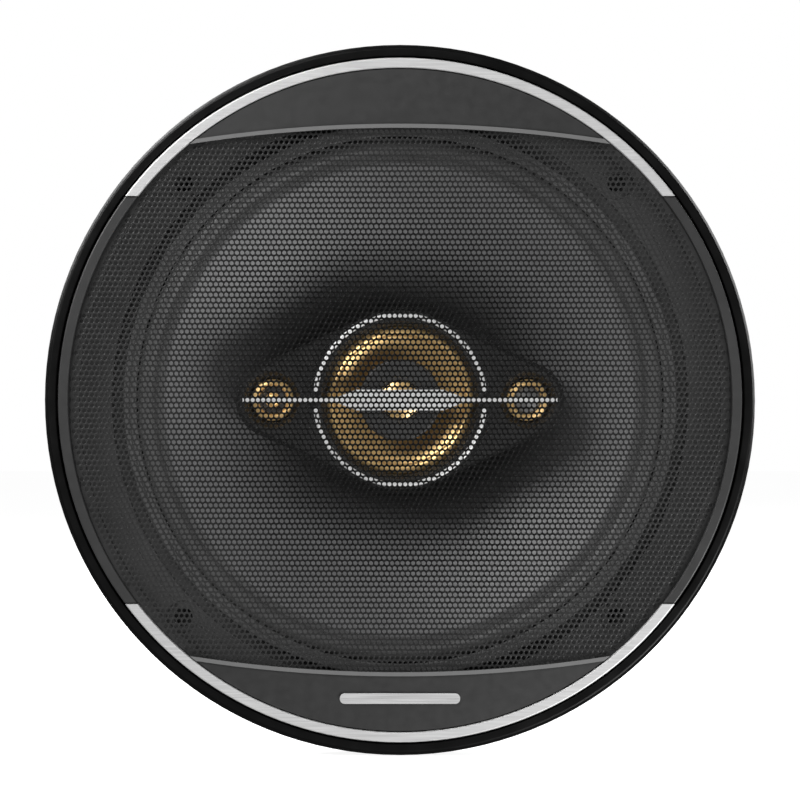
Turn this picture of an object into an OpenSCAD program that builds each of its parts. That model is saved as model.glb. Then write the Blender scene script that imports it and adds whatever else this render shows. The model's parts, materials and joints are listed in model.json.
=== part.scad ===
// Coaxial car speaker, 6.5 inch class, with a removable grille.
// The mounting plane is Y = 0, the listener is on the -Y side and +Z is up.
// Every sub-part is drawn about its own axis with z pointing at the listener, then turned into place.

/* [Overall] */
// Outer diameter of the grille base ring
rim_d = 178; // [150:1:215]
// Height of the grille base ring in front of the mounting plane
rim_h = 15.4; // [14:0.2:19]
// Diameter of the circle through the four mounting holes
screw_pcd = 156; // [146:1:158]
// Diameter of the mounting holes
screw_hole_d = 4.8; // [4:0.1:5.8]

/* [Basket] */
// Outer diameter of the basket's flange
flange_d = 166; // [160:1:170]
// Thickness of the basket's sheet steel
sheet_t = 1.2; // [0.9:0.1:1.5]
// Diameter of the basket's body behind the flange
tub_d = 135; // [132:0.5:138]
// Depth from the mounting plane to the back of the yoke
mounting_depth = 54.5; // [50:0.5:66]
// Half the angle of each basket window
window_half_angle = 31; // [24:1:36]

/* [Motor] */
// Outer diameter of the ferrite ring magnet
magnet_d = 80; // [68:1:96]
// Outer diameter of the voice coil's former
former_d = 25.3; // [24:0.1:30]
// Length of the voice coil's winding
winding_l = 9; // [7:0.5:11]
// Travel of the woofer cone each way
woofer_travel = 3.5; // [2.5:0.1:4]

/* [Woofer cone] */
// Diameter of the cone's outer edge
cone_d = 124; // [118:0.5:125]
// Depth of the cone from its edge to its neck
cone_depth = 18.2; // [15:0.2:19]
// How quickly the cone flattens toward its edge, where 1 is straight
cone_flare = 0.8; // [0.65:0.05:1]

/* [Coaxial housing] */
// Distance from the centre to each side tweeter
side_x = 32.1; // [31:0.1:36]
// Diameter of the housing around the midrange
housing_d = 45.2; // [44.8:0.1:50]
// Diameter of the housing's rounded ends
lobe_d = 18.8; // [18:0.1:22]
// Front face of the housing, in front of the mounting plane
housing_front = 12.2; // [11.6:0.1:12.6]
// Depth of the bevel around the housing's front edge
bevel = 2.2; // [1:0.1:3]

/* [Grille] */
// Thickness of the perforated grille sheet
mesh_t = 0.6; // [0.5:0.1:1]
// Width of the trim band around the grille
band_w = 2.5; // [2:0.1:3]
// Radius of the curved inner edges of the two panels
panel_edge_r = 340; // [260:5:500]
// Distance from the centre to the middle of each panel's inner edge
panel_edge_y = 67.9; // [64:0.1:70]
// Height above the centre at which the bright arcs end
arc_end_y = 50.9; // [44:0.1:56]
// Length of the plain badge on the lower panel
badge_l = 30; // [20:1:38]

/* [Hidden] */
$fn = 96;
touch = 0.01;

// Base ring and grille
rim_r = rim_d / 2;
rim_wall = 3;
groove = 0.6;
band_r = rim_r - rim_wall - groove;
band_inner_r = band_r - band_w;
floor_z = sheet_t + 2.6;
screw_r = screw_pcd / 2;
ledge_r = screw_r - 1.4;
base_inner_r = screw_r - 4.7;
recess_r = 4.25;
recess_depth = 1.2;
mesh_z = rim_h - 0.2;
mesh_front = mesh_z + mesh_t;
mesh_r = band_inner_r - 0.2;
panel_r = band_inner_r - 0.3;
panel_t = 1.4;
panel_lip_w = 1;
panel_overlap = 3;
clip_count = 6;
clip_half_angle = 2.6;

// Basket
flange_r = flange_d / 2;
tub_r = tub_d / 2;
skirt_z = -7;
spider_ledge_z = -20;
spider_r = 36.5;
ledge_outer_r = 38;
cup_top_r = 31.5;
cup_bottom_r = 30.5;
plate_front_z = -32;
window_inner_r = 41;
window_outer_r = tub_r - 5;
strip_t = 1.5;
strip_inner_r = screw_r - 3.4;

// Motor
former_r = former_d / 2;
former_t = 0.2;
wire_t = 0.7;
gap_clearance = 0.4;
pole_r = former_r - former_t - 0.25;
plate_hole_r = former_r + wire_t + gap_clearance;
plate_t = 4.4;
plate_r = 36;
yoke_t = 4.6;
magnet_front_z = plate_front_z - plate_t;
yoke_front_z = yoke_t - mounting_depth;
magnet_hole_r = former_r + 9.4;
yoke_r = magnet_d / 2 - 3;
pole_top_z = plate_front_z + 0.8;
winding_z = plate_front_z - plate_t / 2 - winding_l / 2;
post_r = 4.6;
tail_r = 2.9;
wire_bore_r = 1.8;
nut_af = 10;
nut_t = 2.4;
nut_recess_r = 8;
slot_depth = 2.2;

// Woofer cone and surround
cone_r = cone_d / 2;
cone_edge_z = sheet_t;
cone_neck_z = cone_edge_z - cone_depth;
cone_t = 0.6;
cone_lip_w = 1.8;
surround_outer_r = tub_r - 0.5;
gasket_w = 3.3;
gasket_h = 3;
rubber_t = 0.6;
former_top_z = cone_neck_z + 1;

// Coaxial housing and its drivers
housing_back = 2.2;
boss_r = 15;
boss_z = -8;
housing_wall = 1.2;
bezel_r = housing_d / 2 - 0.7;
bezel_w = 1.2;
bezel_h = 1.2;
bay_r = bezel_r - bezel_w - 0.2;
mid_seat_z = 6.5;
mid_surround_r = bay_r - 1.65;
mid_roll_r = mid_surround_r - 2.7;
mid_coil_r = 7.3;
mid_pole_r = 6.85;
mid_magnet_r = boss_r - housing_wall - 0.3;
mid_floor_z = boss_z + housing_wall;
plate_disc_r = 10.3;
plate_disc_front = housing_front - 1.5;
dome_r = 4.75;
dome_h = 1.0;
lobe_recess_r = 7;
lobe_recess_z = 8.4;
side_ring_r = 5.3;
side_ring_w = 1.75;
bar_half_l = side_x + lobe_recess_r + 0.4;
bar_h = 1.25;
bar_t = 0.8;
lens_half_l = 16;
lens_h = 5.2;

// Terminals and leads
terminal_azimuth = -45;
arm_slope = atan2(skirt_z - spider_ledge_z, tub_r - ledge_outer_r);
arm_mid_r = (tub_r + ledge_outer_r) / 2;
arm_mid_z = (skirt_z + spider_ledge_z) / 2 - sheet_t / 2;
board_t = 1.6;
board_w = 34;
board_half_l = 13;
board_up = sheet_t / 2 + 0.3;
rivet_side = 9;
tab_t = 0.8;
tab_x = 4.5;
tab_hole_x = -tab_x - 2.4;
lead_r = 0.65;
tinsel_r = 0.6;
tinsel_neck_r = 25;

// ---- Geometry helpers ----

function unit(v) = v / norm(v);

// Points of the fillet of radius r at corner b of the path a, b, c.
function fillet(a, b, c, r, steps) =
    let (u = unit(a - b), v = unit(c - b))
    let (half = acos(min(1, max(-1, u * v))) / 2)
    let (reach = min(r / tan(half), 0.49 * norm(a - b), 0.49 * norm(c - b)))
    let (radius = reach * tan(half), centre = b + unit(u + v) * radius / sin(half))
    let (p = b + u * reach - centre, q = b + v * reach - centre)
    let (start = atan2(p.y, p.x), turn = atan2(q.y, q.x) - start)
    let (sweep = turn > 180 ? turn - 360 : turn < -180 ? turn + 360 : turn)
    [for (i = [0 : steps]) centre + radius * [cos(start + sweep * i / steps), sin(start + sweep * i / steps)]];

// A closed outline from rows [x, y, radius], each corner rounded by its radius.
function rounded(rows, steps = 3) =
    let (n = len(rows), at = [for (p = rows) [p.x, p.y]])
    [for (i = [0 : n - 1])
        each rows[i][2] > 0
            ? fillet(at[(i + n - 1) % n], at[i], at[(i + 1) % n], rows[i][2], steps)
            : [at[i]]];

function arc(centre, r, from, to, steps) =
    [for (i = [0 : steps]) centre + r * [cos(from + (to - from) * i / steps), sin(from + (to - from) * i / steps)]];

// Turns a shape drawn with z toward the listener into the speaker's frame.
module face_listener() {
    rotate([90, 0, 0])
        children();
}

module turned(rows, steps = 3) {
    rotate_extrude($fn = 128)
        polygon(rounded(rows, steps));
}

module ring(outer, inner, z0, z1) {
    turned([[inner, z0, 0], [outer, z0, 0], [outer, z1, 0], [inner, z1, 0]]);
}

module slab(z0, z1) {
    translate([0, 0, z0])
        linear_extrude(z1 - z0)
            children();
}

module around(count, first = 0) {
    for (i = [0 : count - 1])
        rotate([0, 0, first + i * 360 / count])
            children();
}

// Cuts the corners of a path of points, more finely with each pass.
function smooth(path, passes = 2) =
    passes == 0 ? path : smooth(concat(
        [path[0]],
        [for (i = [0 : len(path) - 2])
            each [0.75 * path[i] + 0.25 * path[i + 1], 0.25 * path[i] + 0.75 * path[i + 1]]],
        [path[len(path) - 1]]
    ), passes - 1);

// A round wire of radius r along a path that never runs parallel to flat.
module wire(path, r, flat, sides = 8) {
    n = len(path);
    points = [for (i = [0 : n - 1])
        let (along = unit(path[min(i + 1, n - 1)] - path[max(i - 1, 0)]))
        let (across = unit(cross(along, flat)), up = cross(across, along))
        for (k = [0 : sides - 1])
            path[i] + r * (cos(360 * k / sides) * across + sin(360 * k / sides) * up)];
    skin = [for (i = [0 : n - 2], k = [0 : sides - 1])
        let (a = i * sides + k, b = i * sides + (k + 1) % sides)
        each [[a, b, b + sides], [a, b + sides, a + sides]]];
    first = [for (k = [sides - 1 : -1 : 0]) k];
    last = [for (k = [0 : sides - 1]) (n - 1) * sides + k];
    polyhedron(points = points, faces = concat(skin, [first, last]), convexity = 6);
}

// ---- Basket and motor ----

module window_outline() {
    span = window_half_angle;
    inner = arc([0, 0], window_inner_r, span, -span, 8);
    outer = arc([0, 0], window_outer_r, -span, span, 10);
    polygon(concat(inner, outer));
}

module basket() {
    back_r = ledge_outer_r + 0.5;
    color([0.09, 0.09, 0.1])
        face_listener()
            difference() {
                turned([
                    [tub_r, 0, 1], [tub_r, skirt_z, 3], [back_r, spider_ledge_z - sheet_t, 2.5],
                    [cup_top_r, spider_ledge_z - sheet_t, 2], [cup_bottom_r, plate_front_z, 1.6],
                    [plate_hole_r + 2, plate_front_z, 0], [plate_hole_r + 2, plate_front_z + sheet_t, 0.5],
                    [cup_bottom_r - sheet_t, plate_front_z + sheet_t, 1],
                    [cup_top_r - sheet_t, spider_ledge_z, 1], [back_r - 1, spider_ledge_z, 1.5],
                    [tub_r - sheet_t, skirt_z + 0.7, 2], [tub_r - sheet_t, sheet_t, 1],
                    [flange_r, sheet_t, 0.4], [flange_r, 0, 0.4]
                ]);
                around(4)
                    slab(spider_ledge_z - 4, skirt_z + 6)
                        window_outline();
                around(4, 45)
                    translate([screw_r, 0, -1])
                        cylinder(h = sheet_t + 2, d = screw_hole_d, $fn = 48);
                around(4, 45)
                    translate([rivet_r(), 0, plate_front_z - 1])
                        cylinder(h = sheet_t + 2, r = 1.6, $fn = 32);
                around(8, 22.5)
                    translate([cup_bottom_r - 3, 0, (spider_ledge_z + plate_front_z) / 2])
                        rotate([0, 90, 0])
                            cylinder(h = 8, r = 2.4, $fn = 32);
            }
}

module sealing_strip() {
    color([0.1, 0.1, 0.1])
        face_listener()
            difference() {
                turned([
                    [strip_inner_r, -strip_t, 0.4], [flange_r - 0.4, -strip_t, 0.4],
                    [flange_r - 0.4, 0, 0], [strip_inner_r, 0, 0]
                ]);
                around(4, 45)
                    translate([screw_r, 0, -strip_t - 1])
                        cylinder(h = strip_t + 2, d = screw_hole_d, $fn = 48);
            }
}

function rivet_r() = (plate_hole_r + cup_bottom_r) / 2 + 1;

module rivets() {
    head_z = plate_front_z + sheet_t;
    color([0.72, 0.72, 0.74])
        face_listener()
            around(4, 45)
                translate([rivet_r(), 0, 0])
                    turned([
                        [0, plate_front_z - 2, 0], [1.55, plate_front_z - 2, 0], [1.55, head_z, 0],
                        [2.6, head_z, 0], [2.6, head_z + 1, 0.7], [0, head_z + 1, 0]
                    ]);
}

module top_plate() {
    color([0.62, 0.63, 0.66])
        face_listener()
            difference() {
                turned([
                    [plate_hole_r, magnet_front_z, 0], [plate_r, magnet_front_z, 0.5],
                    [plate_r, plate_front_z, 0.5], [plate_hole_r, plate_front_z, 0]
                ]);
                around(4, 45)
                    translate([rivet_r(), 0, plate_front_z - 2.2])
                        cylinder(h = 3, r = 1.6, $fn = 32);
            }
}

module magnet() {
    color([0.16, 0.16, 0.17])
        face_listener()
            turned([
                [magnet_hole_r, yoke_front_z, 0.6], [magnet_d / 2, yoke_front_z, 1.2],
                [magnet_d / 2, magnet_front_z, 1.2], [magnet_hole_r, magnet_front_z, 0.6]
            ]);
}

module yoke() {
    back = -mounting_depth;
    color([0.62, 0.63, 0.66])
        face_listener()
            difference() {
                turned([
                    [tail_r + 0.1, yoke_front_z + 2, 0], [tail_r + 0.1, back + nut_t, 0],
                    [nut_recess_r, back + nut_t, 0], [nut_recess_r, back, 0.5],
                    [yoke_r, back, 1.6], [yoke_r, yoke_front_z, 0.5], [pole_r + 1.4, yoke_front_z, 0],
                    [pole_r, yoke_front_z + 1.4, 0], [pole_r, pole_top_z, 0.8],
                    [tail_r + 0.1, pole_top_z, 0]
                ]);
                rotate([0, 0, terminal_azimuth])
                    translate([nut_recess_r - 1, -2, back - 1])
                        cube([yoke_r, 4, slot_depth + 1]);
            }
}

module centre_post() {
    back = -mounting_depth;
    color([0.75, 0.75, 0.77])
        face_listener()
            turned([
                [wire_bore_r, back + 0.2, 0], [tail_r, back + 0.2, 0.4], [tail_r, pole_top_z, 0],
                [7, pole_top_z, 0.4], [7, pole_top_z + 1.6, 0.8], [post_r, pole_top_z + 2.4, 0],
                [post_r, boss_z - 2.4, 0], [7, boss_z - 1.6, 0.6], [7, boss_z, 0],
                [wire_bore_r, boss_z, 0]
            ]);
}

module post_nut() {
    color([0.78, 0.78, 0.8])
        face_listener()
            translate([0, 0, -mounting_depth])
                difference() {
                    cylinder(h = nut_t, d = nut_af / cos(30), $fn = 6);
                    translate([0, 0, -1])
                        cylinder(h = nut_t + 2, r = tail_r + 0.05, $fn = 48);
                }
}

// ---- Terminals, capacitors and leads ----

// The outer face of the basket's lower right arm: x runs out along it and z points away from it.
module on_arm() {
    rotate([0, 0, terminal_azimuth])
        translate([arm_mid_r, 0, arm_mid_z])
            rotate([0, 180 - arm_slope, 0])
                translate([0, 0, board_up])
                    children();
}

module terminal_board() {
    l = board_half_l;
    w = board_w / 2;
    color([0.28, 0.16, 0.09])
        face_listener()
            on_arm()
                difference() {
                    slab(0, board_t)
                        polygon(rounded([[-l, -w, 2], [l, -w, 2], [l, w, 2], [-l, w, 2]]));
                    for (side = [-1, 1])
                        translate([tab_hole_x, side * rivet_side, -1])
                            cylinder(h = board_t + 2, r = 1.3, $fn = 32);
                }
}

module blade(side, w) {
    translate([0, side * rivet_side, board_t])
        difference() {
            union() {
                translate([-tab_x - 5, -w / 2, 0])
                    cube([5 + tab_t, w, tab_t]);
                translate([-tab_x, -w / 2, 0])
                    cube([tab_t, w, 8.6]);
            }
            translate([tab_hole_x, 0, -1])
                cylinder(h = 3, r = 1.3, $fn = 32);
            translate([-tab_x - 1, 0, 6])
                rotate([0, 90, 0])
                    cylinder(h = 3, r = 0.8, $fn = 24);
        }
}

module terminal_positive() {
    color([0.85, 0.72, 0.42])
        face_listener()
            on_arm()
                blade(1, 6.3);
}

module terminal_negative() {
    color([0.78, 0.78, 0.8])
        face_listener()
            on_arm()
                blade(-1, 4.8);
}

module terminal_rivets() {
    color([0.8, 0.8, 0.82])
        face_listener()
            on_arm()
                for (side = [-1, 1])
                    translate([tab_hole_x, side * rivet_side, 0])
                        turned([
                            [0, 0.1, 0], [1.25, 0.1, 0], [1.25, board_t + tab_t, 0],
                            [2, board_t + tab_t, 0], [2, board_t + tab_t + 0.7, 0.4],
                            [0, board_t + tab_t + 0.7, 0]
                        ]);
}

module capacitor(x, r, l) {
    color([0.12, 0.2, 0.42])
        face_listener()
            on_arm()
                translate([x, -l / 2, board_t + r])
                    rotate([-90, 0, 0])
                        turned([
                            [0, 0, 0], [r, 0, 0.6], [r, l - 2.6, 0.3], [r - 0.35, l - 2, 0.2],
                            [r, l - 1.4, 0.3], [r, l, 0.5], [0, l, 0]
                        ]);
}

module capacitor_mid() {
    capacitor(8.2, 4, 18);
}

module capacitor_tweeter() {
    capacitor(0.4, 3, 14);
}

// A point over the arm's outer face, as [distance from the axis, height]: x runs inward along the
// arm from its middle and up is measured away from the middle of its sheet.
function arm_point(x, up) = [
    arm_mid_r - x * cos(arm_slope) + up * sin(arm_slope),
    arm_mid_z - x * sin(arm_slope) - up * cos(arm_slope)
];

// Route of a lead from the board, down the magnet's side, along the slot in the yoke's back and
// up the post's bore: [distance from the axis, height, distance to the other lead's middle plane].
function lead_route() =
    let (back = -mounting_depth, side_r = magnet_d / 2 + 2 * lead_r)
    let (start = arm_point(board_half_l - lead_r, board_up + board_t + lead_r + 0.1))
    [
        [start.x, start.y, 1], [side_r + 0.8, start.y - 5, 1], [side_r, magnet_front_z, 1],
        [side_r, yoke_front_z, 1], [side_r, back + 1.1, 1], [yoke_r - 2, back + 1.1, 1],
        [nut_recess_r + 2, back + 1.1, 1],
        [nut_recess_r - 0.4, back - 0.9, 1], [2, back - 1.1, 0.85], [0.4, back - 0.7, 0.85],
        [0.4, back + 4.5, 0.85], [0.4, boss_z - 1, 0.85]
    ];

module lead(side) {
    face_listener()
        rotate([0, 0, terminal_azimuth])
            wire(smooth([for (p = lead_route()) [p.x, side * p.z, p.y]]), lead_r, [0, 1, 0]);
}

module lead_red() {
    color([0.6, 0.06, 0.05])
        lead(1);
}

module lead_black() {
    color([0.05, 0.05, 0.05])
        lead(-1);
}

// Height at distance r between the basket's inside, at share 0, and the cone's back, at share 1.
function behind_cone(r, share) =
    let (arm_z = arm_mid_z + (r - arm_mid_r) * tan(arm_slope) + sheet_t / 2)
    share * (cone_z(r) - cone_t) + (1 - share) * max(spider_ledge_z, arm_z);

module tinsel_leads() {
    start = arm_point(0.8, board_up - tinsel_r - 0.35);
    color([0.72, 0.5, 0.32])
        face_listener()
            rotate([0, 0, terminal_azimuth])
                for (side = [-1, 1])
                    wire(smooth([
                        [start.x, side * 15.5, start.y], [48, side * 15, behind_cone(48, 0.25)],
                        [42, side * 12.5, behind_cone(42, 0.45)], [36, side * 9.5, behind_cone(36, 0.45)],
                        [30, side * 7, behind_cone(30, 0.5)],
                        [tinsel_neck_r, side * 5, cone_z(norm([tinsel_neck_r, 5])) - cone_t - 0.9]
                    ]), tinsel_r, [0, 0, 1]);
}

// ---- Woofer ----

// Height of the cone's front surface at distance r from the axis.
function cone_z(r) =
    cone_neck_z + cone_depth * pow(max(0, (r - former_r) / (cone_r - cone_lip_w - former_r)), cone_flare);

module woofer_cone() {
    steps = 16;
    reach = cone_r - cone_lip_w - former_r;
    radii = [for (i = [0 : steps]) former_r + reach * pow(i / steps, 1.25)];
    front = [for (r = radii) [r, cone_z(r)]];
    back = [for (i = [steps : -1 : 0]) [radii[i], cone_z(radii[i]) - cone_t]];
    lip = [[cone_r, cone_edge_z], [cone_r, cone_edge_z - cone_t]];
    color([0.3, 0.3, 0.31])
        face_listener()
            rotate_extrude($fn = 128)
                polygon(concat(front, lip, back));
}

module voice_coil_former() {
    color([0.62, 0.42, 0.2])
        face_listener()
            ring(former_r, former_r - former_t, winding_z - 0.6, former_top_z);
}

module voice_coil() {
    color([0.66, 0.33, 0.16])
        face_listener()
            ring(former_r + wire_t, former_r, winding_z, winding_z + winding_l);
}

module woofer_surround() {
    roll_r = (surround_outer_r - cone_r) / 2;
    middle = [(surround_outer_r + cone_r) / 2, cone_edge_z + rubber_t];
    over = arc(middle, roll_r, 180, 0, 12);
    under = arc(middle, roll_r - 0.5, 0, 180, 12);
    outer = surround_outer_r + gasket_w;
    inner = cone_r - cone_lip_w + 0.2;
    color([0.1, 0.1, 0.1])
        face_listener()
            rotate_extrude($fn = 128)
                polygon(concat(
                    [[inner, cone_edge_z], [inner, cone_edge_z + rubber_t]], over,
                    [[outer, cone_edge_z + rubber_t], [outer, cone_edge_z]], under
                ));
}

module spider() {
    color([0.7, 0.56, 0.3])
        face_listener()
            ring(spider_r, former_r, spider_ledge_z, spider_ledge_z + 0.5);
}

module gasket_ring() {
    z0 = cone_edge_z + rubber_t;
    outer = surround_outer_r + gasket_w;
    color([0.2, 0.2, 0.2])
        face_listener()
            turned([
                [surround_outer_r, z0, 0], [outer, z0, 0], [outer, z0 + gasket_h, 0.5],
                [outer - 1.4, z0 + gasket_h, 0], [outer - 1.8, z0 + gasket_h - 0.8, 0],
                [surround_outer_r, z0 + gasket_h - 0.8, 0.5]
            ]);
}

// ---- Midrange and tweeters ----

// Outline of the bar: a middle circle joined to two end circles by their tangents.
function bar_outline(middle_r, end_r) =
    let (tilt = acos((middle_r - end_r) / side_x))
    concat(
        arc([side_x, 0], end_r, -tilt, tilt, 10), arc([0, 0], middle_r, tilt, 180 - tilt, 8),
        arc([-side_x, 0], end_r, 180 - tilt, 180 + tilt, 10), arc([0, 0], middle_r, 180 + tilt, 360 - tilt, 8)
    );

module housing_shell() {
    shoulder = housing_front - bevel;
    slab(housing_back, shoulder)
        polygon(bar_outline(housing_d / 2, lobe_d / 2));
    hull() {
        slab(shoulder, shoulder + touch)
            polygon(bar_outline(housing_d / 2, lobe_d / 2));
        slab(housing_front - touch, housing_front)
            polygon(bar_outline(bezel_r + 0.1, lobe_d / 2 - 1.2));
    }
    turned([[0, boss_z, 0], [boss_r, boss_z, 1.5], [boss_r, housing_back + 1, 0], [0, housing_back + 1, 0]]);
}

module coax_housing() {
    color([0.06, 0.06, 0.06])
        face_listener()
            difference() {
                housing_shell();
                turned([
                    [0, mid_floor_z, 0], [mid_magnet_r + 0.1, mid_floor_z, 0], [mid_magnet_r + 0.1, 3, 0],
                    [bay_r, 5, 0], [bay_r, housing_front + 1, 0], [0, housing_front + 1, 0]
                ]);
                translate([0, 0, boss_z - 1])
                    cylinder(h = 4, r = wire_bore_r + 0.2, $fn = 32);
                for (side = [-1, 1])
                    translate([side * side_x, 0, 0])
                        turned([
                            [0, housing_back + 1.4, 0], [side_ring_r + 0.1, housing_back + 1.4, 0],
                            [side_ring_r + 0.1, lobe_recess_z, 0], [lobe_recess_r, housing_front, 0],
                            [lobe_recess_r, housing_front + 1, 0], [0, housing_front + 1, 0]
                        ]);
            }
}

module bezel_ring() {
    color([0.85, 0.85, 0.86])
        face_listener()
            difference() {
                turned([
                    [bezel_r - bezel_w, housing_front, 0], [bezel_r, housing_front, 0],
                    [bezel_r, housing_front + bezel_h, 0.4],
                    [bezel_r - bezel_w, housing_front + bezel_h, 0.4]
                ]);
                translate([-bezel_r - 1, -1.9, housing_front - 1])
                    cube([2 * bezel_r + 2, 3.8, bezel_h + 2]);
            }
}

module trim_bar() {
    half = bar_h / 2;
    lens = lens_h / 2;
    shoulder = lens_half_l - 5;
    color([0.85, 0.85, 0.86])
        face_listener()
            slab(housing_front, housing_front + bar_t)
                polygon(concat(
                    [[-bar_half_l, -half], [-lens_half_l, -half]],
                    [[-shoulder, -lens], [shoulder, -lens], [lens_half_l, -half]],
                    [[bar_half_l, -half], [bar_half_l, half], [lens_half_l, half]],
                    [[shoulder, lens], [-shoulder, lens], [-lens_half_l, half], [-bar_half_l, half]]
                ));
}

module mid_yoke() {
    z = mid_floor_z;
    color([0.6, 0.6, 0.63])
        face_listener()
            turned([
                [0, z + 0.01, 0], [mid_magnet_r, z + 0.01, 0], [mid_magnet_r, z + 1.4, 0],
                [mid_pole_r, z + 1.4, 0], [mid_pole_r, z + 5.6, 0.4], [0, z + 5.6, 0]
            ]);
}

module mid_magnet() {
    z = mid_floor_z + 1.4;
    color([0.2, 0.2, 0.21])
        face_listener()
            ring(mid_magnet_r, mid_coil_r + 2, z, z + 2.6);
}

module mid_top_plate() {
    z = mid_floor_z + 4;
    color([0.6, 0.6, 0.63])
        face_listener()
            ring(mid_magnet_r, mid_coil_r + 0.7, z, z + 1.4);
}

module mid_retaining_ring() {
    z = mid_seat_z + 0.4;
    color([0.05, 0.05, 0.05])
        face_listener()
            turned([
                [mid_surround_r, z, 0], [bay_r - 0.05, z, 0], [bay_r - 0.05, housing_front, 0],
                [bay_r - 0.6, housing_front, 0.2], [mid_surround_r, z + 2, 0.5]
            ]);
}

function mid_cone_z(r) = 0.8 + (mid_seat_z - 0.8) * pow((r - mid_coil_r) / (mid_roll_r - mid_coil_r), 0.75);

module mid_cone() {
    steps = 8;
    radii = [for (i = [0 : steps]) mid_coil_r + (mid_roll_r - mid_coil_r) * i / steps];
    front = [for (r = radii) [r, mid_cone_z(r)]];
    back = [for (i = [steps : -1 : 0]) [radii[i], mid_cone_z(radii[i]) - 0.3]];
    color([0.8, 0.62, 0.33])
        face_listener()
            rotate_extrude($fn = 96)
                polygon(concat(front, back));
}

module mid_surround() {
    roll_r = (mid_surround_r - mid_roll_r) / 2;
    middle = [(mid_surround_r + mid_roll_r) / 2, mid_seat_z + 0.1];
    over = arc(middle, roll_r, 180, 0, 10);
    under = arc(middle, roll_r - 0.3, 0, 180, 10);
    color([0.72, 0.55, 0.28])
        face_listener()
            rotate_extrude($fn = 96)
                polygon(concat(over, [[bay_r - 0.1, middle.y], [bay_r - 0.1, middle.y - 0.3]], under));
}

module mid_voice_coil() {
    z = mid_floor_z + 3;
    color([0.66, 0.33, 0.16])
        face_listener()
            turned([
                [mid_coil_r - 0.15, z, 0], [mid_coil_r + 0.35, z, 0], [mid_coil_r + 0.35, z + 2.8, 0],
                [mid_coil_r, z + 2.8, 0], [mid_coil_r, 1.2, 0], [mid_coil_r - 0.15, 1.2, 0]
            ]);
}

module tweeter_cup() {
    stem_z = mid_floor_z + 5.6;
    front = plate_disc_front;
    color([0.2, 0.2, 0.21])
        face_listener()
            turned([
                [0, stem_z, 0], [2.6, stem_z, 0], [2.6, front - 3.6, 0], [plate_disc_r - 2, front - 3.6, 1],
                [plate_disc_r, front - 1.6, 0], [plate_disc_r, front, 0.5], [dome_r + 0.35, front, 0.2],
                [dome_r + 0.35, front - 2.4, 0], [0, front - 2.4, 0]
            ]);
}

module tweeter_magnet() {
    z = plate_disc_front - 2.4;
    color([0.7, 0.7, 0.72])
        face_listener()
            cylinder_at(dome_r - 0.85, z, z + 1.5);
}

module cylinder_at(r, z0, z1) {
    translate([0, 0, z0])
        cylinder(h = z1 - z0, r = r, $fn = 64);
}

// A thin spherical cap of radius r at its edge and height h.
module cap(r, h, z, t) {
    sphere_r = (r * r + h * h) / (2 * h);
    half = asin(r / sphere_r);
    outer = arc([0, z + h - sphere_r], sphere_r, 90 - half, 90, 8);
    inner = arc([0, z + h - sphere_r], sphere_r - t, 90, 90 - half, 8);
    rotate_extrude($fn = 64)
        polygon(concat(outer, inner));
}

module tweeter_dome() {
    color([0.82, 0.64, 0.34])
        face_listener()
            cap(dome_r, dome_h, plate_disc_front - 0.2, 0.25);
}

module tweeter_coil() {
    outer = dome_r - 0.15;
    z = plate_disc_front - 0.55;
    color([0.66, 0.33, 0.16])
        face_listener()
            ring(outer, outer - 0.3, z - 1.4, z);
}

module side_ring(side) {
    z = lobe_recess_z;
    inner = side_ring_r - side_ring_w;
    color([0.76, 0.58, 0.3])
        face_listener()
            translate([side * side_x, 0, 0])
                turned([
                    [inner, z - 1, 0], [side_ring_r, z - 1, 0], [side_ring_r, z + 0.8, 0.3],
                    [inner + 0.5, z + 1.2, 0.3], [inner, z + 0.4, 0.2]
                ]);
}

module side_ring_left() {
    side_ring(-1);
}

module side_ring_right() {
    side_ring(1);
}

module side_base(side) {
    z0 = housing_back + 1.4;
    color([0.35, 0.35, 0.36])
        face_listener()
            translate([side * side_x, 0, 0])
                cylinder_at(side_ring_r - 0.05, z0, lobe_recess_z - 1);
}

module side_base_left() {
    side_base(-1);
}

module side_base_right() {
    side_base(1);
}

module side_dome_left() {
    z = lobe_recess_z - 0.6;
    color([0.82, 0.64, 0.34])
        face_listener()
            translate([-side_x, 0, 0])
                turned([
                    [0, z, 0], [3.2, z, 0], [3.2, z + 0.4, 0.1], [1.7, z + 0.4, 0],
                    [1.5, z + 1.2, 0.5], [0, z + 1.5, 0]
                ]);
}

module side_disc_right() {
    z = lobe_recess_z - 0.6;
    color([0.42, 0.42, 0.44])
        face_listener()
            translate([side_x, 0, 0])
                turned([[0, z, 0], [3.2, z, 0], [3.2, z + 0.4, 0.1], [0, z + 0.8, 0]]);
}

// ---- Grille base and grille ----

module clip_sector(inner, outer, extra) {
    half = clip_half_angle + extra;
    polygon(concat(arc([0, 0], outer, -half, half, 4), arc([0, 0], inner, half, -half, 4)));
}

module base_ring() {
    inner = flange_r + 0.4;
    wall = rim_r - rim_wall;
    color([0.07, 0.07, 0.075])
        face_listener()
            difference() {
                turned([
                    [inner, 0, 0], [rim_r, 0, 0.5], [rim_r, rim_h - 1.2, 1], [rim_r - 0.9, rim_h, 0.6],
                    [wall, rim_h, 0.3], [wall, floor_z, 0], [ledge_r, floor_z, 0.3],
                    [ledge_r, floor_z - 0.8, 0], [base_inner_r, floor_z - 0.8, 0.3],
                    [base_inner_r, sheet_t, 0], [inner, sheet_t, 0]
                ]);
                around(4, 45)
                    translate([screw_r, 0, sheet_t - 1])
                        cylinder(h = 6, d = screw_hole_d, $fn = 48);
                around(4, 45)
                    translate([screw_r, 0, floor_z - recess_depth])
                        cylinder(h = 6, r = recess_r, $fn = 48);
                around(clip_count)
                    slab(-1, floor_z + 1)
                        clip_sector(flange_r + 0.8, band_r + 0.2, 0.4);
            }
}

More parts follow.
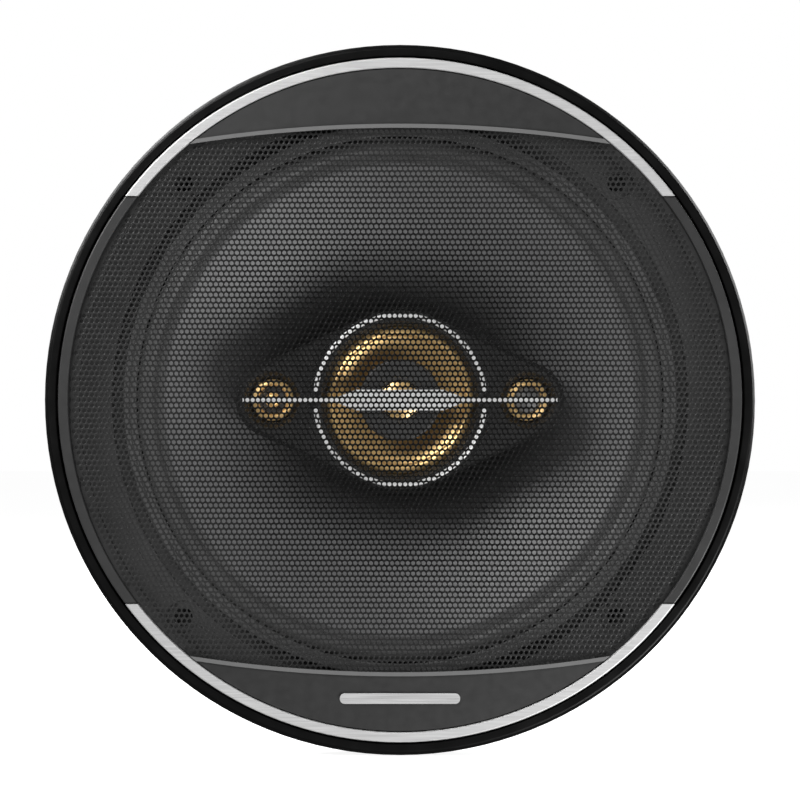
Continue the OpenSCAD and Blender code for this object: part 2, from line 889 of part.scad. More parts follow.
module grille_frame() {
    ledge_z = mesh_z - 1.4;
    color([0.07, 0.07, 0.075])
        face_listener() {
            turned([
                [band_inner_r, floor_z + 0.6, 0], [band_r, floor_z + 0.6, 0.4], [band_r, mesh_front, 0],
                [band_inner_r, mesh_front, 0], [band_inner_r, mesh_z, 0], [band_inner_r - 2.6, mesh_z, 0.3],
                [band_inner_r - 2.6, ledge_z, 0.3], [band_inner_r, ledge_z, 0]
            ]);
            around(clip_count)
                slab(0.6, floor_z + 1.2)
                    clip_sector(flange_r + 1.2, band_r - 0.2, 0);
            slab(ledge_z, mesh_z)
                for (side = [0, 180])
                    rotate([0, 0, side])
                        crescent(0.6, band_inner_r - 1);
        }
}

// The circle whose top is a panel's inner edge, moved outward by grow.
module edge_circle(grow) {
    translate([0, panel_edge_y - panel_edge_r])
        circle(r = panel_edge_r + grow, $fn = 360);
}

// The area between the circle of radius outer and a panel's inner edge moved outward by grow.
module crescent(grow, outer) {
    difference() {
        intersection() {
            circle(r = outer, $fn = 128);
            translate([-rim_r, 0])
                square([rim_d, rim_r]);
        }
        edge_circle(grow);
    }
}

module grille_mesh() {
    color([0.1, 0.1, 0.1])
        face_listener()
            slab(mesh_z, mesh_front)
                intersection() {
                    circle(r = mesh_r, $fn = 128);
                    edge_circle(panel_overlap);
                    rotate([0, 0, 180])
                        edge_circle(panel_overlap);
                }
}

module grille_panel() {
    slab(mesh_z, mesh_front)
        crescent(panel_overlap + 0.2, panel_r);
    slab(mesh_front, mesh_front + panel_t)
        crescent(0, panel_r);
    slab(mesh_front + panel_t, mesh_front + panel_t + 0.5)
        intersection() {
            crescent(0, panel_r);
            edge_circle(panel_lip_w);
        }
}

module grille_panel_upper() {
    color([0.26, 0.26, 0.27])
        face_listener()
            grille_panel();
}

module grille_panel_lower() {
    color([0.26, 0.26, 0.27])
        face_listener()
            rotate([0, 0, 180])
                grille_panel();
}

module trim_arc() {
    top = mesh_front + 1.9;
    difference() {
        turned([
            [band_inner_r, mesh_front, 0], [band_r, mesh_front, 0], [band_r, top, 0.35],
            [band_inner_r, top, 0.35]
        ]);
        translate([-rim_d, -rim_d * 2 + arc_end_y, 0])
            cube([rim_d * 2, rim_d * 2, rim_d]);
    }
}

module trim_arc_upper() {
    color([0.88, 0.88, 0.89])
        face_listener()
            trim_arc();
}

module trim_arc_lower() {
    color([0.88, 0.88, 0.89])
        face_listener()
            rotate([0, 0, 180])
                trim_arc();
}

module side_strip(side) {
    top = mesh_front + 1.4;
    end = arc_end_y - 0.3;
    color([0.25, 0.25, 0.26])
        face_listener()
            intersection() {
                turned([
                    [band_inner_r, mesh_front, 0], [band_r, mesh_front, 0], [band_r, top, 0.35],
                    [band_inner_r, top, 0.35]
                ]);
                translate([side > 0 ? 0 : -rim_d, -end, 0])
                    cube([rim_d, 2 * end, rim_d]);
            }
}

module side_strip_left() {
    side_strip(-1);
}

module side_strip_right() {
    side_strip(1);
}

module badge() {
    y = -(panel_edge_y + panel_r) / 2 + 0.8;
    z = mesh_front + panel_t;
    rows = [
        [-badge_l / 2, y - 1.3, 1.2], [badge_l / 2, y - 1.3, 1.2],
        [badge_l / 2, y + 1.3, 1.2], [-badge_l / 2, y + 1.3, 1.2]
    ];
    color([0.82, 0.82, 0.83])
        face_listener()
            slab(z, z + 0.6)
                polygon(rounded(rows, 5));
}

basket();
sealing_strip();
base_ring();
gasket_ring();
rivets();
top_plate();
magnet();
yoke();
centre_post();
post_nut();
terminal_board();
terminal_positive();
terminal_negative();
terminal_rivets();
capacitor_mid();
capacitor_tweeter();
lead_red();
lead_black();
coax_housing();
bezel_ring();
trim_bar();
mid_yoke();
mid_magnet();
mid_top_plate();
mid_retaining_ring();
mid_surround();
mid_cone();
mid_voice_coil();
tweeter_cup();
tweeter_magnet();
tweeter_dome();
tweeter_coil();
side_ring_left();
side_ring_right();
side_base_left();
side_base_right();
side_dome_left();
side_disc_right();
woofer_cone();
voice_coil_former();
voice_coil();
woofer_surround();
spider();
tinsel_leads();
grille_frame();
grille_mesh();
grille_panel_upper();
grille_panel_lower();
trim_arc_upper();
trim_arc_lower();
side_strip_left();
side_strip_right();
badge();
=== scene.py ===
"""Looks of the coaxial car speaker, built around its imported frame.

Local sizes are in millimetres about the speaker's axis: x right, y up and z toward the listener.
"""

import json
import math

import bmesh
import bpy
import numpy as np
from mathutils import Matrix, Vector


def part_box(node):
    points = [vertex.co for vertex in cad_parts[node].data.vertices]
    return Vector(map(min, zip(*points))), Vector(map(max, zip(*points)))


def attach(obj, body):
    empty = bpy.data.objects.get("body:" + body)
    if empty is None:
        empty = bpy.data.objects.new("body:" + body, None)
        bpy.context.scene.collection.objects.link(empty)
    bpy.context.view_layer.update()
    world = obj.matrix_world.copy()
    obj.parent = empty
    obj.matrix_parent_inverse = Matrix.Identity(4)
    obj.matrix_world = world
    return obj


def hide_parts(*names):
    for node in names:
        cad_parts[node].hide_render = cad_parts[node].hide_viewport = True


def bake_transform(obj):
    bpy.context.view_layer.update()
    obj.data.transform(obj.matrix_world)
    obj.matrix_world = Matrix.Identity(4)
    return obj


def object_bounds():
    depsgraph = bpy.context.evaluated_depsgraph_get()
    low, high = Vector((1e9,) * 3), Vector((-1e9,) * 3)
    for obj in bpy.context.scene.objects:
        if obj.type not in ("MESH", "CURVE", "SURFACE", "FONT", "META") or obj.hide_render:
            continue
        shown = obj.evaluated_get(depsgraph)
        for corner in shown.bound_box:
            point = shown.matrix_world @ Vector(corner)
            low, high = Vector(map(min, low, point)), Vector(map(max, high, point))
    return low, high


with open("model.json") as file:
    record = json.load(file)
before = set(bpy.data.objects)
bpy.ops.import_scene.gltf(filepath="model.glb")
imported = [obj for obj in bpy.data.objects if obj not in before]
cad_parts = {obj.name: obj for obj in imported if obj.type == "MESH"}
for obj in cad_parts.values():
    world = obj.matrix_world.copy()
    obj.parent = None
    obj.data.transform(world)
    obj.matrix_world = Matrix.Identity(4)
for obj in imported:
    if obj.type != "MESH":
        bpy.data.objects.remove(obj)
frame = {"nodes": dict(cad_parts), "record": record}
cad_low, cad_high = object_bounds()

MM = 0.001
ROUND = 192  # segments of a turned piece
NODE = frame["nodes"]


def local_box(node):
    """A node's box in local millimetres: lowest and highest (x, y, z)."""
    low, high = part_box(node)
    return (
        np.array([low.x, low.z, -high.y]) / MM,
        np.array([high.x, high.z, -low.y]) / MM,
    )


def to_frame(points):
    """Local millimetres to metres in the speaker's frame."""
    p = np.asarray(points, float)
    return np.stack([p[:, 0], -p[:, 2], p[:, 1]], 1) * MM


# ---- Driving sizes, read from the frame ----

sheet_low, sheet_high = local_box("grille_mesh")
SHEET_BACK, SHEET_FRONT = sheet_low[2], sheet_high[2]
SHEET_R = sheet_high[0]
PANEL_FRONT = local_box("grille_panel_upper")[1][2]
CONE_R = local_box("woofer_cone")[1][0]
CONE_FRONT = local_box("woofer_cone")[1][2]
CONE_BACK = local_box("woofer_cone")[0][2]
CONE_T = 0.6
FORMER_R = local_box("voice_coil_former")[1][0]
SURROUND_R = local_box("woofer_surround")[1][0]
GASKET_W = 3.3  # width of the surround's glued flange
MID_NECK_R = 7.3  # inner edge of the midrange cone
SPIDER_R = local_box("spider")[1][0]
SPIDER_Z = local_box("spider")[0][2]
SCREW_R = frame["record"]["mounts"][0]["dims"]["pcd_mm"] / 2
SIDE_X = (local_box("side_ring_right")[0][0] + local_box("side_ring_right")[1][0]) / 2

# The upper panel's inner edge: an arc of this radius with its top at this height.
PANEL_EDGE_Y = sheet_high[1] - 3.0
PANEL_EDGE_R = 340.0

# The sheet's holes, in staggered rows.
HOLE_PITCH = 1.316
ROW_PITCH = 1.316
HOLE_R = 0.515


# ---- Mesh helpers ----


def make_piece(name, points, faces, smooth_angle=35):
    """A smooth-shaded object of local points, with edges sharper than smooth_angle kept sharp."""
    mesh = bpy.data.meshes.new(name)
    mesh.from_pydata(to_frame(points).tolist(), [], faces)
    mesh.validate()
    mesh.polygons.foreach_set("use_smooth", np.ones(len(mesh.polygons), bool))
    mesh.set_sharp_from_angle(angle=math.radians(smooth_angle))
    piece = bpy.data.objects.new(name, mesh)
    bpy.context.scene.collection.objects.link(piece)
    return piece


def fillet(a, b, c, radius, steps):
    """Points of an arc that rounds corner b of the path a, b, c."""
    u = (a - b) / np.linalg.norm(a - b)
    v = (c - b) / np.linalg.norm(c - b)
    half = math.acos(max(-1, min(1, float(u @ v)))) / 2
    reach = min(
        radius / math.tan(half),
        0.49 * np.linalg.norm(a - b),
        0.49 * np.linalg.norm(c - b),
    )
    size = reach * math.tan(half)
    middle = (u + v) / np.linalg.norm(u + v)
    centre = b + middle * size / math.sin(half)
    first = b + u * reach - centre
    last = b + v * reach - centre
    start = math.atan2(first[1], first[0])
    turn = (math.atan2(last[1], last[0]) - start + math.pi) % (2 * math.pi) - math.pi
    return [
        centre + size * np.array([math.cos(start + turn * i / steps), math.sin(start + turn * i / steps)])
        for i in range(steps + 1)
    ]


def rounded(rows, steps=5):
    """A closed outline from rows (x, y, radius), each corner rounded by its radius."""
    at = [np.array(r[:2], float) for r in rows]
    out = []
    for i, row in enumerate(rows):
        if row[2] > 0:
            out += fillet(at[i - 1], at[i], at[(i + 1) % len(rows)], row[2], steps)
        else:
            out.append(at[i])
    return np.array(out)


def turned(name, outline, segments=ROUND, centre=(0.0, 0.0), smooth_angle=35):
    """A closed outline of (r, z) turned about the axis through centre."""
    outline = np.asarray(outline, float)
    n = len(outline)
    angles = np.linspace(0, 2 * math.pi, segments, endpoint=False)
    points = np.concatenate(
        [
            np.stack(
                [
                    centre[0] + outline[:, 0] * math.cos(a),
                    centre[1] + outline[:, 0] * math.sin(a),
                    outline[:, 1],
                ],
                1,
            )
            for a in angles
        ]
    )
    area = sum(
        outline[i, 0] * outline[(i + 1) % n, 1] - outline[(i + 1) % n, 0] * outline[i, 1]
        for i in range(n)
    )
    faces = []
    for s in range(segments):
        this, after = s * n, ((s + 1) % segments) * n
        for i in range(n):
            k = (i + 1) % n
            if outline[i, 0] < 1e-6 and outline[k, 0] < 1e-6:
                continue
            quad = [this + i, after + i, after + k, this + k]
            faces.append(quad if area < 0 else quad[::-1])
    piece = make_piece(name, points, faces, smooth_angle)
    weld(piece)
    return piece


def weld(piece, distance=1e-7):
    """Joins points that coincide and drops what collapses."""
    bm = bmesh.new()
    bm.from_mesh(piece.data)
    bmesh.ops.remove_doubles(bm, verts=bm.verts, dist=distance)
    bmesh.ops.dissolve_degenerate(bm, edges=bm.edges, dist=distance)
    bm.to_mesh(piece.data)
    bm.free()


def arc_points(centre, radius, start, end, steps):
    """Points on an arc, in degrees."""
    angles = np.radians(np.linspace(start, end, steps + 1))
    return [np.array([centre[0] + radius * math.cos(a), centre[1] + radius * math.sin(a)]) for a in angles]


def thick(front, thickness):
    """The outline of a turned sheet: its front line and a back line behind it along its normals."""
    front = np.asarray(front, float)
    along = np.gradient(front, axis=0)
    along /= np.linalg.norm(along, axis=1)[:, None]
    normal = np.stack([along[:, 1], -along[:, 0]], 1)
    normal *= np.where(normal[:, 1:] > 0, -1, 1)
    return np.concatenate([front, (front + normal * thickness)[::-1]])


def swept(name, line, radius, sides=12):
    """A round strand along a line."""
    along = np.gradient(line, axis=0)
    along /= np.linalg.norm(along, axis=1)[:, None]
    across = np.cross(along, [0, 0, 1])
    across /= np.linalg.norm(across, axis=1)[:, None]
    up = np.cross(across, along)
    points, faces = [], []
    for p, a, u in zip(line, across, up):
        for k in range(sides):
            t = 2 * math.pi * k / sides
            points.append(p + radius * (math.cos(t) * a + math.sin(t) * u))
    for i in range(len(line) - 1):
        for k in range(sides):
            n = (k + 1) % sides
            a, b = i * sides, (i + 1) * sides
            faces.append([a + k, a + n, b + n, b + k])
    last = (len(line) - 1) * sides
    faces += [list(range(sides))[::-1], [last + k for k in range(sides)]]
    return make_piece(name, points, faces)


def apply_modifiers(piece):
    """Replaces a piece's mesh with what its modifiers make of it."""
    bpy.context.view_layer.update()
    evaluated = piece.evaluated_get(bpy.context.evaluated_depsgraph_get())
    made = bpy.data.meshes.new_from_object(evaluated)
    piece.modifiers.clear()
    piece.data = made


# ---- Materials ----


class Surface:
    """A procedural material and a short way of adding nodes to it."""

    def __init__(self, name, colour, roughness, metallic=0.0, specular=0.5):
        self.material = bpy.data.materials.new(name)
        self.material.use_nodes = True
        self.tree = self.material.node_tree
        self.shader = self.tree.nodes["Principled BSDF"]
        self.colour, self.roughness = colour, roughness
        self.shader.inputs["Base Color"].default_value = (*colour, 1)
        self.shader.inputs["Roughness"].default_value = roughness
        self.shader.inputs["Metallic"].default_value = metallic
        self.shader.inputs["Specular IOR Level"].default_value = specular
        self.place = self.node("ShaderNodeTexCoord").outputs["Object"]
        self.height = None

    def node(self, kind, inputs=None, **settings):
        made = self.tree.nodes.new(kind)
        for key, value in settings.items():
            setattr(made, key, value)
        for key, value in (inputs or {}).items():
            if isinstance(value, bpy.types.NodeSocket):
                self.tree.links.new(value, made.inputs[key])
            else:
                made.inputs[key].default_value = value
        return made

    def scaled(self, scale):
        return self.node("ShaderNodeMapping", {"Vector": self.place, "Scale": scale}).outputs[0]

    def noise(self, scale, detail=4.0, stretch=(1, 1, 1), rough=0.55):
        where = self.scaled(tuple(scale * s for s in stretch))
        inputs = {"Vector": where, "Scale": 1.0, "Detail": detail, "Roughness": rough}
        return self.node("ShaderNodeTexNoise", inputs).outputs["Fac"]

    def cells(self, scale):
        """Distance from the middles of scattered cells."""
        where = self.scaled((scale, scale, scale))
        return self.node("ShaderNodeTexVoronoi", {"Vector": where, "Scale": 1.0}).outputs["Distance"]

    def ridges(self, pitch_mm, direction, **inputs):
        """Parallel ridges across one axis."""
        scale = 0.5 / (pitch_mm * MM) / math.pi
        inputs = {"Vector": self.scaled((1, 1, 1)), "Scale": scale, **inputs}
        return self.node("ShaderNodeTexWave", inputs, bands_direction=direction).outputs["Fac"]

    def arithmetic(self, operation, first, second):
        """One arithmetic node."""
        return self.node("ShaderNodeMath", {0: first, 1: second}, operation=operation).outputs[0]

    def spread(self, value, low, high):
        """Takes a pattern's 0.3 to 0.7 to low to high."""
        made = self.node(
            "ShaderNodeMapRange",
            {"Value": value, "From Min": 0.3, "From Max": 0.7, "To Min": low, "To Max": high},
        )
        return made.outputs["Result"]

    def colour_socket(self, sockets, name):
        """A mix node's colour socket of this name."""
        return next(s for s in sockets if s.name == name and s.type == "RGBA")

    def vary_colour(self, value, darker, lighter):
        """Runs the base colour between two multiples of itself."""
        mix = self.node("ShaderNodeMix", data_type="RGBA")
        for key, share in (("A", darker), ("B", lighter)):
            socket = self.colour_socket(mix.inputs, key)
            socket.default_value = (*[c * share for c in self.colour], 1)
        self.tree.links.new(self.spread(value, 0, 1), mix.inputs[0])
        result = self.colour_socket(mix.outputs, "Result")
        self.tree.links.new(result, self.shader.inputs["Base Color"])
        return self

    def depth(self):
        """Distance in front of the mounting plane, in millimetres."""
        parts = self.node("ShaderNodeSeparateXYZ", {"Vector": self.place})
        return self.arithmetic("MULTIPLY", parts.outputs["Y"], -1 / MM)

    def radius(self, centre_x=0.0, across=1.0):
        """Distance in millimetres from an axis parallel to the speaker's; across scales the x share."""
        centre = (centre_x * MM, 0, 0)
        moved = self.node("ShaderNodeVectorMath", {0: self.place, 1: centre}, operation="SUBTRACT")
        inputs = {0: moved.outputs[0], 1: (across, 0, 1)}
        flat = self.node("ShaderNodeVectorMath", inputs, operation="MULTIPLY")
        length = self.node("ShaderNodeVectorMath", {0: flat.outputs[0]}, operation="LENGTH")
        return self.arithmetic("MULTIPLY", length.outputs["Value"], 1 / MM)

    def fade_colour(self, value, start, end, other):
        """Runs from the colour so far to another as value goes from start to end."""
        share = self.node("ShaderNodeMapRange", {"Value": value, "From Min": start, "From Max": end})
        mix = self.node("ShaderNodeMix", data_type="RGBA")
        first, second = (self.colour_socket(mix.inputs, key) for key in "AB")
        base = self.shader.inputs["Base Color"]
        if base.is_linked:
            self.tree.links.new(base.links[0].from_socket, first)
        else:
            first.default_value = base.default_value
        second.default_value = (*other, 1)
        self.tree.links.new(share.outputs["Result"], mix.inputs[0])
        self.tree.links.new(self.colour_socket(mix.outputs, "Result"), base)
        return self

    def vary_roughness(self, value, low, high):
        self.tree.links.new(self.spread(value, low, high), self.shader.inputs["Roughness"])
        return self

    def bump(self, value, depth_mm, strength=1.0):
        inputs = {"Height": value, "Strength": strength, "Distance": depth_mm * MM}
        if self.height is not None:
            inputs["Normal"] = self.height
        self.height = self.node("ShaderNodeBump", inputs).outputs["Normal"]
        self.tree.links.new(self.height, self.shader.inputs["Normal"])
        return self

    def coat(self, weight, roughness):
        self.shader.inputs["Coat Weight"].default_value = weight
        self.shader.inputs["Coat Roughness"].default_value = roughness
        return self

    def done(self):
        return self.material


def grey(value, tint=(1.0, 1.0, 1.0)):
    """A grey, slightly tinted where a tint is given."""
    return tuple(value * t for t in tint)


def moulded(name, colour, roughness=0.45, grain_mm=0.35, depth_mm=0.012, specular=0.5):
    """Moulded plastic: a fine spark-eroded grain, with slow changes of gloss."""
    s = Surface(name, colour, roughness, specular=specular)
    s.vary_colour(s.noise(55, 3), 0.88, 1.12)
    s.vary_roughness(s.noise(140, 5), roughness - 0.06, roughness + 0.08)
    s.bump(s.noise(1000 / grain_mm, 2), depth_mm)
    return s.done()


def painted(name, colour, roughness=0.38, depth_mm=0.006):
    """Satin paint over metal or plastic: fine orange peel and a thin clear coat."""
    s = Surface(name, colour, roughness)
    s.vary_colour(s.noise(38, 2), 0.93, 1.07)
    s.vary_roughness(s.noise(420, 4), roughness - 0.04, roughness + 0.05)
    s.bump(s.noise(1500, 2), depth_mm)
    return s.coat(0.15, 0.25).done()


def brushed(name, colour, roughness=0.3, stretch=(0.012, 1, 1), metallic=1.0, depth_mm=0.004):
    """Straight-brushed metal, its lines along the axis with the small stretch."""
    s = Surface(name, colour, roughness, metallic)
    lines = s.noise(5200, 3, stretch, 0.7)
    s.vary_colour(lines, 0.86, 1.1)
    s.vary_roughness(lines, roughness - 0.08, roughness + 0.12)
    s.bump(lines, depth_mm)
    return s.done()


def metal(name, colour, roughness=0.3, cloud=0.06, depth_mm=0.002, metallic=1.0):
    """Plated or drawn metal with faint clouding and fine scratches."""
    s = Surface(name, colour, roughness, metallic)
    s.vary_colour(s.noise(160, 5), 1 - cloud, 1 + cloud)
    s.vary_roughness(s.noise(900, 4, (0.25, 1, 1)), roughness - 0.06, roughness + 0.1)
    s.bump(s.noise(2600, 2), depth_mm)
    return s.done()


def cloth(name, colour, thread_mm=0.45, roughness=0.85):
    """Resin-treated weave: crossed threads with some uneven dye."""
    s = Surface(name, colour, roughness, specular=0.25)
    warp, weft = (s.ridges(thread_mm, direction, Distortion=0.6) for direction in ("X", "Z"))
    weave = s.arithmetic("MAXIMUM", warp, weft)
    s.vary_colour(s.noise(260, 4), 0.75, 1.2)
    s.bump(weave, 0.05)
    return s.done()


def cone_paper():
    """Pressed pulp with mica: fibres in two sizes, with painted shade: darker in a wide oval round the
    housing.
    """
    s = Surface("cone_pulp", grey(0.085, (1, 1, 1.02)), 0.42, specular=1.0)
    s.vary_colour(s.noise(900, 6, rough=0.7), 0.82, 1.2)
    # painted shade: the cone's colour fades to near-black in a wide oval round the housing, where the
    # bridge shades it
    s.fade_colour(s.radius(across=0.78), 41, 25, grey(0.003))
    s.vary_roughness(s.noise(1300, 4), 0.37, 0.48)
    s.bump(s.noise(1600, 5), 0.02)
    s.bump(s.noise(240, 4), 0.03)
    return s.done()


def ferrite():
    """Sintered ferrite: matt grey-black with small pits."""
    s = Surface("ferrite", grey(0.035), 0.62)
    s.vary_colour(s.noise(220, 6), 0.7, 1.35)
    s.vary_roughness(s.noise(600, 5), 0.5, 0.75)
    s.bump(s.cells(900), 0.02)
    return s.done()


def windings(name, colour):
    """Wound enamelled wire: one ridge a turn along the axis."""
    s = Surface(name, colour, 0.28, 0.9)
    wire_pitch = 0.28
    s.vary_colour(s.noise(300, 3), 0.8, 1.15)
    s.bump(s.ridges(wire_pitch, "Y"), 0.08)
    return s.done()


def phenolic():
    """Brown paper laminate: streaks of fibre under a low gloss."""
    s = Surface("phenolic", (0.13, 0.055, 0.025), 0.42)
    s.vary_colour(s.noise(240, 5, (0.15, 1, 1)), 0.65, 1.35)
    s.vary_roughness(s.noise(700, 4), 0.36, 0.5)
    s.bump(s.noise(1400, 3), 0.01)
    return s.done()


def rubber(name, colour, roughness=0.6):
    """Soft rubber or vinyl: nearly even, with a faint grain."""
    s = Surface(name, colour, roughness, specular=0.4)
    s.vary_colour(s.noise(120, 4), 0.85, 1.15)
    s.vary_roughness(s.noise(500, 4), roughness - 0.08, roughness + 0.08)
    s.bump(s.noise(1800, 3), 0.012)
    return s.done()


def base_plastic():
    """The base ring: a satin black rim round a coarser floor, the floor painted lighter than the rim as
    painted light.
    """
    s = Surface("black_plastic", grey(0.0025), 0.34, specular=0.25)
    s.vary_colour(s.noise(55, 3), 0.85, 1.15)
    # painted light: below the rim the same black plastic is painted a lighter grey, standing in for the
    # light the floor catches
    s.fade_colour(s.depth(), 6, 4.5, grey(0.05))
    s.vary_roughness(s.noise(140, 5), 0.3, 0.42)
    s.bump(s.noise(2600, 2), 0.008)
    return s.done()


def enamel():
    """Satin enamel on the grille sheet, smooth enough to glint on each web, with painted shade: darker at
    the middle, where the webs show less glint.
    """
    s = Surface("mesh_steel", grey(0.03), 0.26, specular=0.55)
    s.vary_colour(s.noise(90, 4), 0.85, 1.2)
    # painted shade: the webs fade to near-black toward the middle, standing in for the glint they lack
    # there
    s.fade_colour(s.radius(), 72, 34, grey(0.002))
    s.vary_roughness(s.noise(700, 3), 0.22, 0.32)
    s.bump(s.noise(3000, 2), 0.004)
    return s.done()


def panel_paint():
    """Charcoal satin paint, with a painted highlight: a paler line along each panel's raised lip."""
    s = Surface("panel_paint", grey(0.013), 0.43, specular=1.0)
    s.vary_colour(s.noise(38, 2), 0.95, 1.05)
    # painted highlight: the raised lip is painted a paler grey where the light catches its edge
    s.fade_colour(s.depth(), PANEL_FRONT - 0.32, PANEL_FRONT - 0.26, grey(0.15))
    s.vary_roughness(s.noise(420, 4), 0.4, 0.46)
    s.bump(s.noise(1500, 2), 0.004)
    return s.done()


def gold_parts(colour):
    """Gold rings and domes; the flat round the left side dome is dark grey."""
    s = Surface("gold_metal", colour, 0.3, 0.65)
    s.vary_colour(s.noise(160, 5), 0.95, 1.05)
    flat_r, dome_r = 3.3, 1.9
    from_left_tweeter = s.radius(-SIDE_X)
    outside_dome = s.arithmetic("GREATER_THAN", from_left_tweeter, dome_r)
    inside_flat = s.arithmetic("LESS_THAN", from_left_tweeter, flat_r)
    flat = s.arithmetic("MULTIPLY", outside_dome, inside_flat)
    s.fade_colour(flat, 0, 1, grey(0.09))
    s.vary_roughness(s.noise(900, 4, (0.25, 1, 1)), 0.25, 0.4)
    s.bump(s.noise(2600, 2), 0.002)
    return s.done()


def foam(name):
    """Closed-cell foam: small open cells in a matt surface."""
    s = Surface(name, grey(0.02), 0.85, specular=0.25)
    s.vary_colour(s.noise(180, 4), 0.8, 1.25)
    s.bump(s.cells(1400), 0.12)
    return s.done()


def make_materials():
    gold = (0.88, 0.6, 0.26)
    return {
        "basket_coat": painted("basket_coat", grey(0.022), 0.42, 0.012),
        "sealing_foam": foam("sealing_foam"),
        "black_plastic": base_plastic(),
        "gasket_board": moulded("gasket_board", grey(0.05), 0.6, 0.5, 0.03),
        "rivet_steel": metal("rivet_steel", grey(0.6), 0.3),
        "zinc_plate": metal("zinc_plate", (0.5, 0.51, 0.53), 0.34, 0.1),
        "ferrite": ferrite(),
        "nickel": metal("nickel", (0.6, 0.58, 0.54), 0.27),
        "phenolic": phenolic(),
        "brass_tab": metal("brass_tab", (0.78, 0.58, 0.26), 0.26),
        "tin_tab": metal("tin_tab", grey(0.66), 0.3),
        "capacitor_sleeve": painted("capacitor_sleeve", (0.012, 0.03, 0.12), 0.3),
        "red_insulation": rubber("red_insulation", (0.38, 0.015, 0.012), 0.42),
        "black_insulation": rubber("black_insulation", grey(0.012), 0.42),
        "housing_black": moulded("housing_black", grey(0.003), 0.46, 0.3, 0.012, 0.5),
        "silver_trim": brushed("silver_trim", grey(0.76), 0.34, metallic=0.45),
        "ring_black": moulded("ring_black", grey(0.006), 0.6),
        "gold_surround": metal("gold_surround", gold, 0.36, 0.08, metallic=0.8),
        "gold_cone": metal("gold_cone", gold, 0.36, 0.05, metallic=0.8),
        "copper_wire": windings("copper_wire", (0.55, 0.2, 0.07)),
        "dark_grey_plate": moulded("dark_grey_plate", grey(0.035), 0.4, 0.3, 0.008),
        "neodymium": metal("neodymium", grey(0.55), 0.25),
        "gold_metal": gold_parts(gold),
        "grey_metal": metal("grey_metal", grey(0.3), 0.38, 0.05),
        "cone_pulp": cone_paper(),
        "kapton": painted("kapton", (0.35, 0.15, 0.03), 0.25),
        "surround_rubber": rubber("surround_rubber", grey(0.062), 0.45),
        "spider_cloth": cloth("spider_cloth", (0.5, 0.34, 0.12)),
        "copper_braid": windings("copper_braid", (0.6, 0.33, 0.16)),
        "grille_black": moulded("grille_black", grey(0.012), 0.42),
        "mesh_steel": enamel(),
        "panel_paint": panel_paint(),
        "brushed_arc": brushed("brushed_arc", grey(0.72), 0.42, metallic=0.4),
        "gunmetal": painted("gunmetal", grey(0.04), 0.36),
    }


MATERIALS = make_materials()


def finish_piece(piece, slot, body=None, replaces=()):
    """Gives a piece its material and slot, the body it rides on and the nodes it stands for."""
    piece.data.materials.clear()
    piece.data.materials.append(MATERIALS[slot])
    if body:
        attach(piece, body)
    if replaces:
        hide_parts(*replaces)
    return piece


def finish_nodes():
    """Gives every CAD node the material of its slot in the record."""
    slots = {s["node"]: s["material_slot"] for s in frame["record"]["subparts"]}
    for name, node in NODE.items():
        node.data.materials.clear()
        node.data.materials.append(MATERIALS[slots[name]])


def radial_blend(piece):
    """Bakes a ring's placement into its mesh; the ring is not bent between bodies."""
    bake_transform(piece)


# ---- The perforated sheet ----


def sheet_cells():
    """Centres of the sheet's cells, each with whether it is pierced, on a grid of staggered rows."""
    rim_margin, under_panel, pierced_under_panel = 0.62, 2.2, 1.0
    rows = int(PANEL_EDGE_Y / ROW_PITCH) + 4
    columns = int(SHEET_R / HOLE_PITCH) + 3
    cells = {}
    for j in range(-rows, rows + 1):
        for i in range(-columns, columns + 1):
            x = (i + 0.5 * (j % 2)) * HOLE_PITCH
            y = j * ROW_PITCH
            edge = PANEL_EDGE_Y - PANEL_EDGE_R + math.sqrt(PANEL_EDGE_R**2 - x * x)
            if math.hypot(x, y) > SHEET_R + 0.2 or abs(y) > edge + under_panel:
                continue
            pierced = math.hypot(x, y) < SHEET_R - rim_margin and abs(y) < edge + pierced_under_panel
            cells[i, j] = (x, y, pierced)
    return cells


def neighbour(i, j, right, up):
    """The staggered grid's cell above or below (i, j), to its right or left."""
    shift = (1 if right else 0) if j % 2 else (0 if right else -1)
    return i + shift, j + (1 if up else -1)


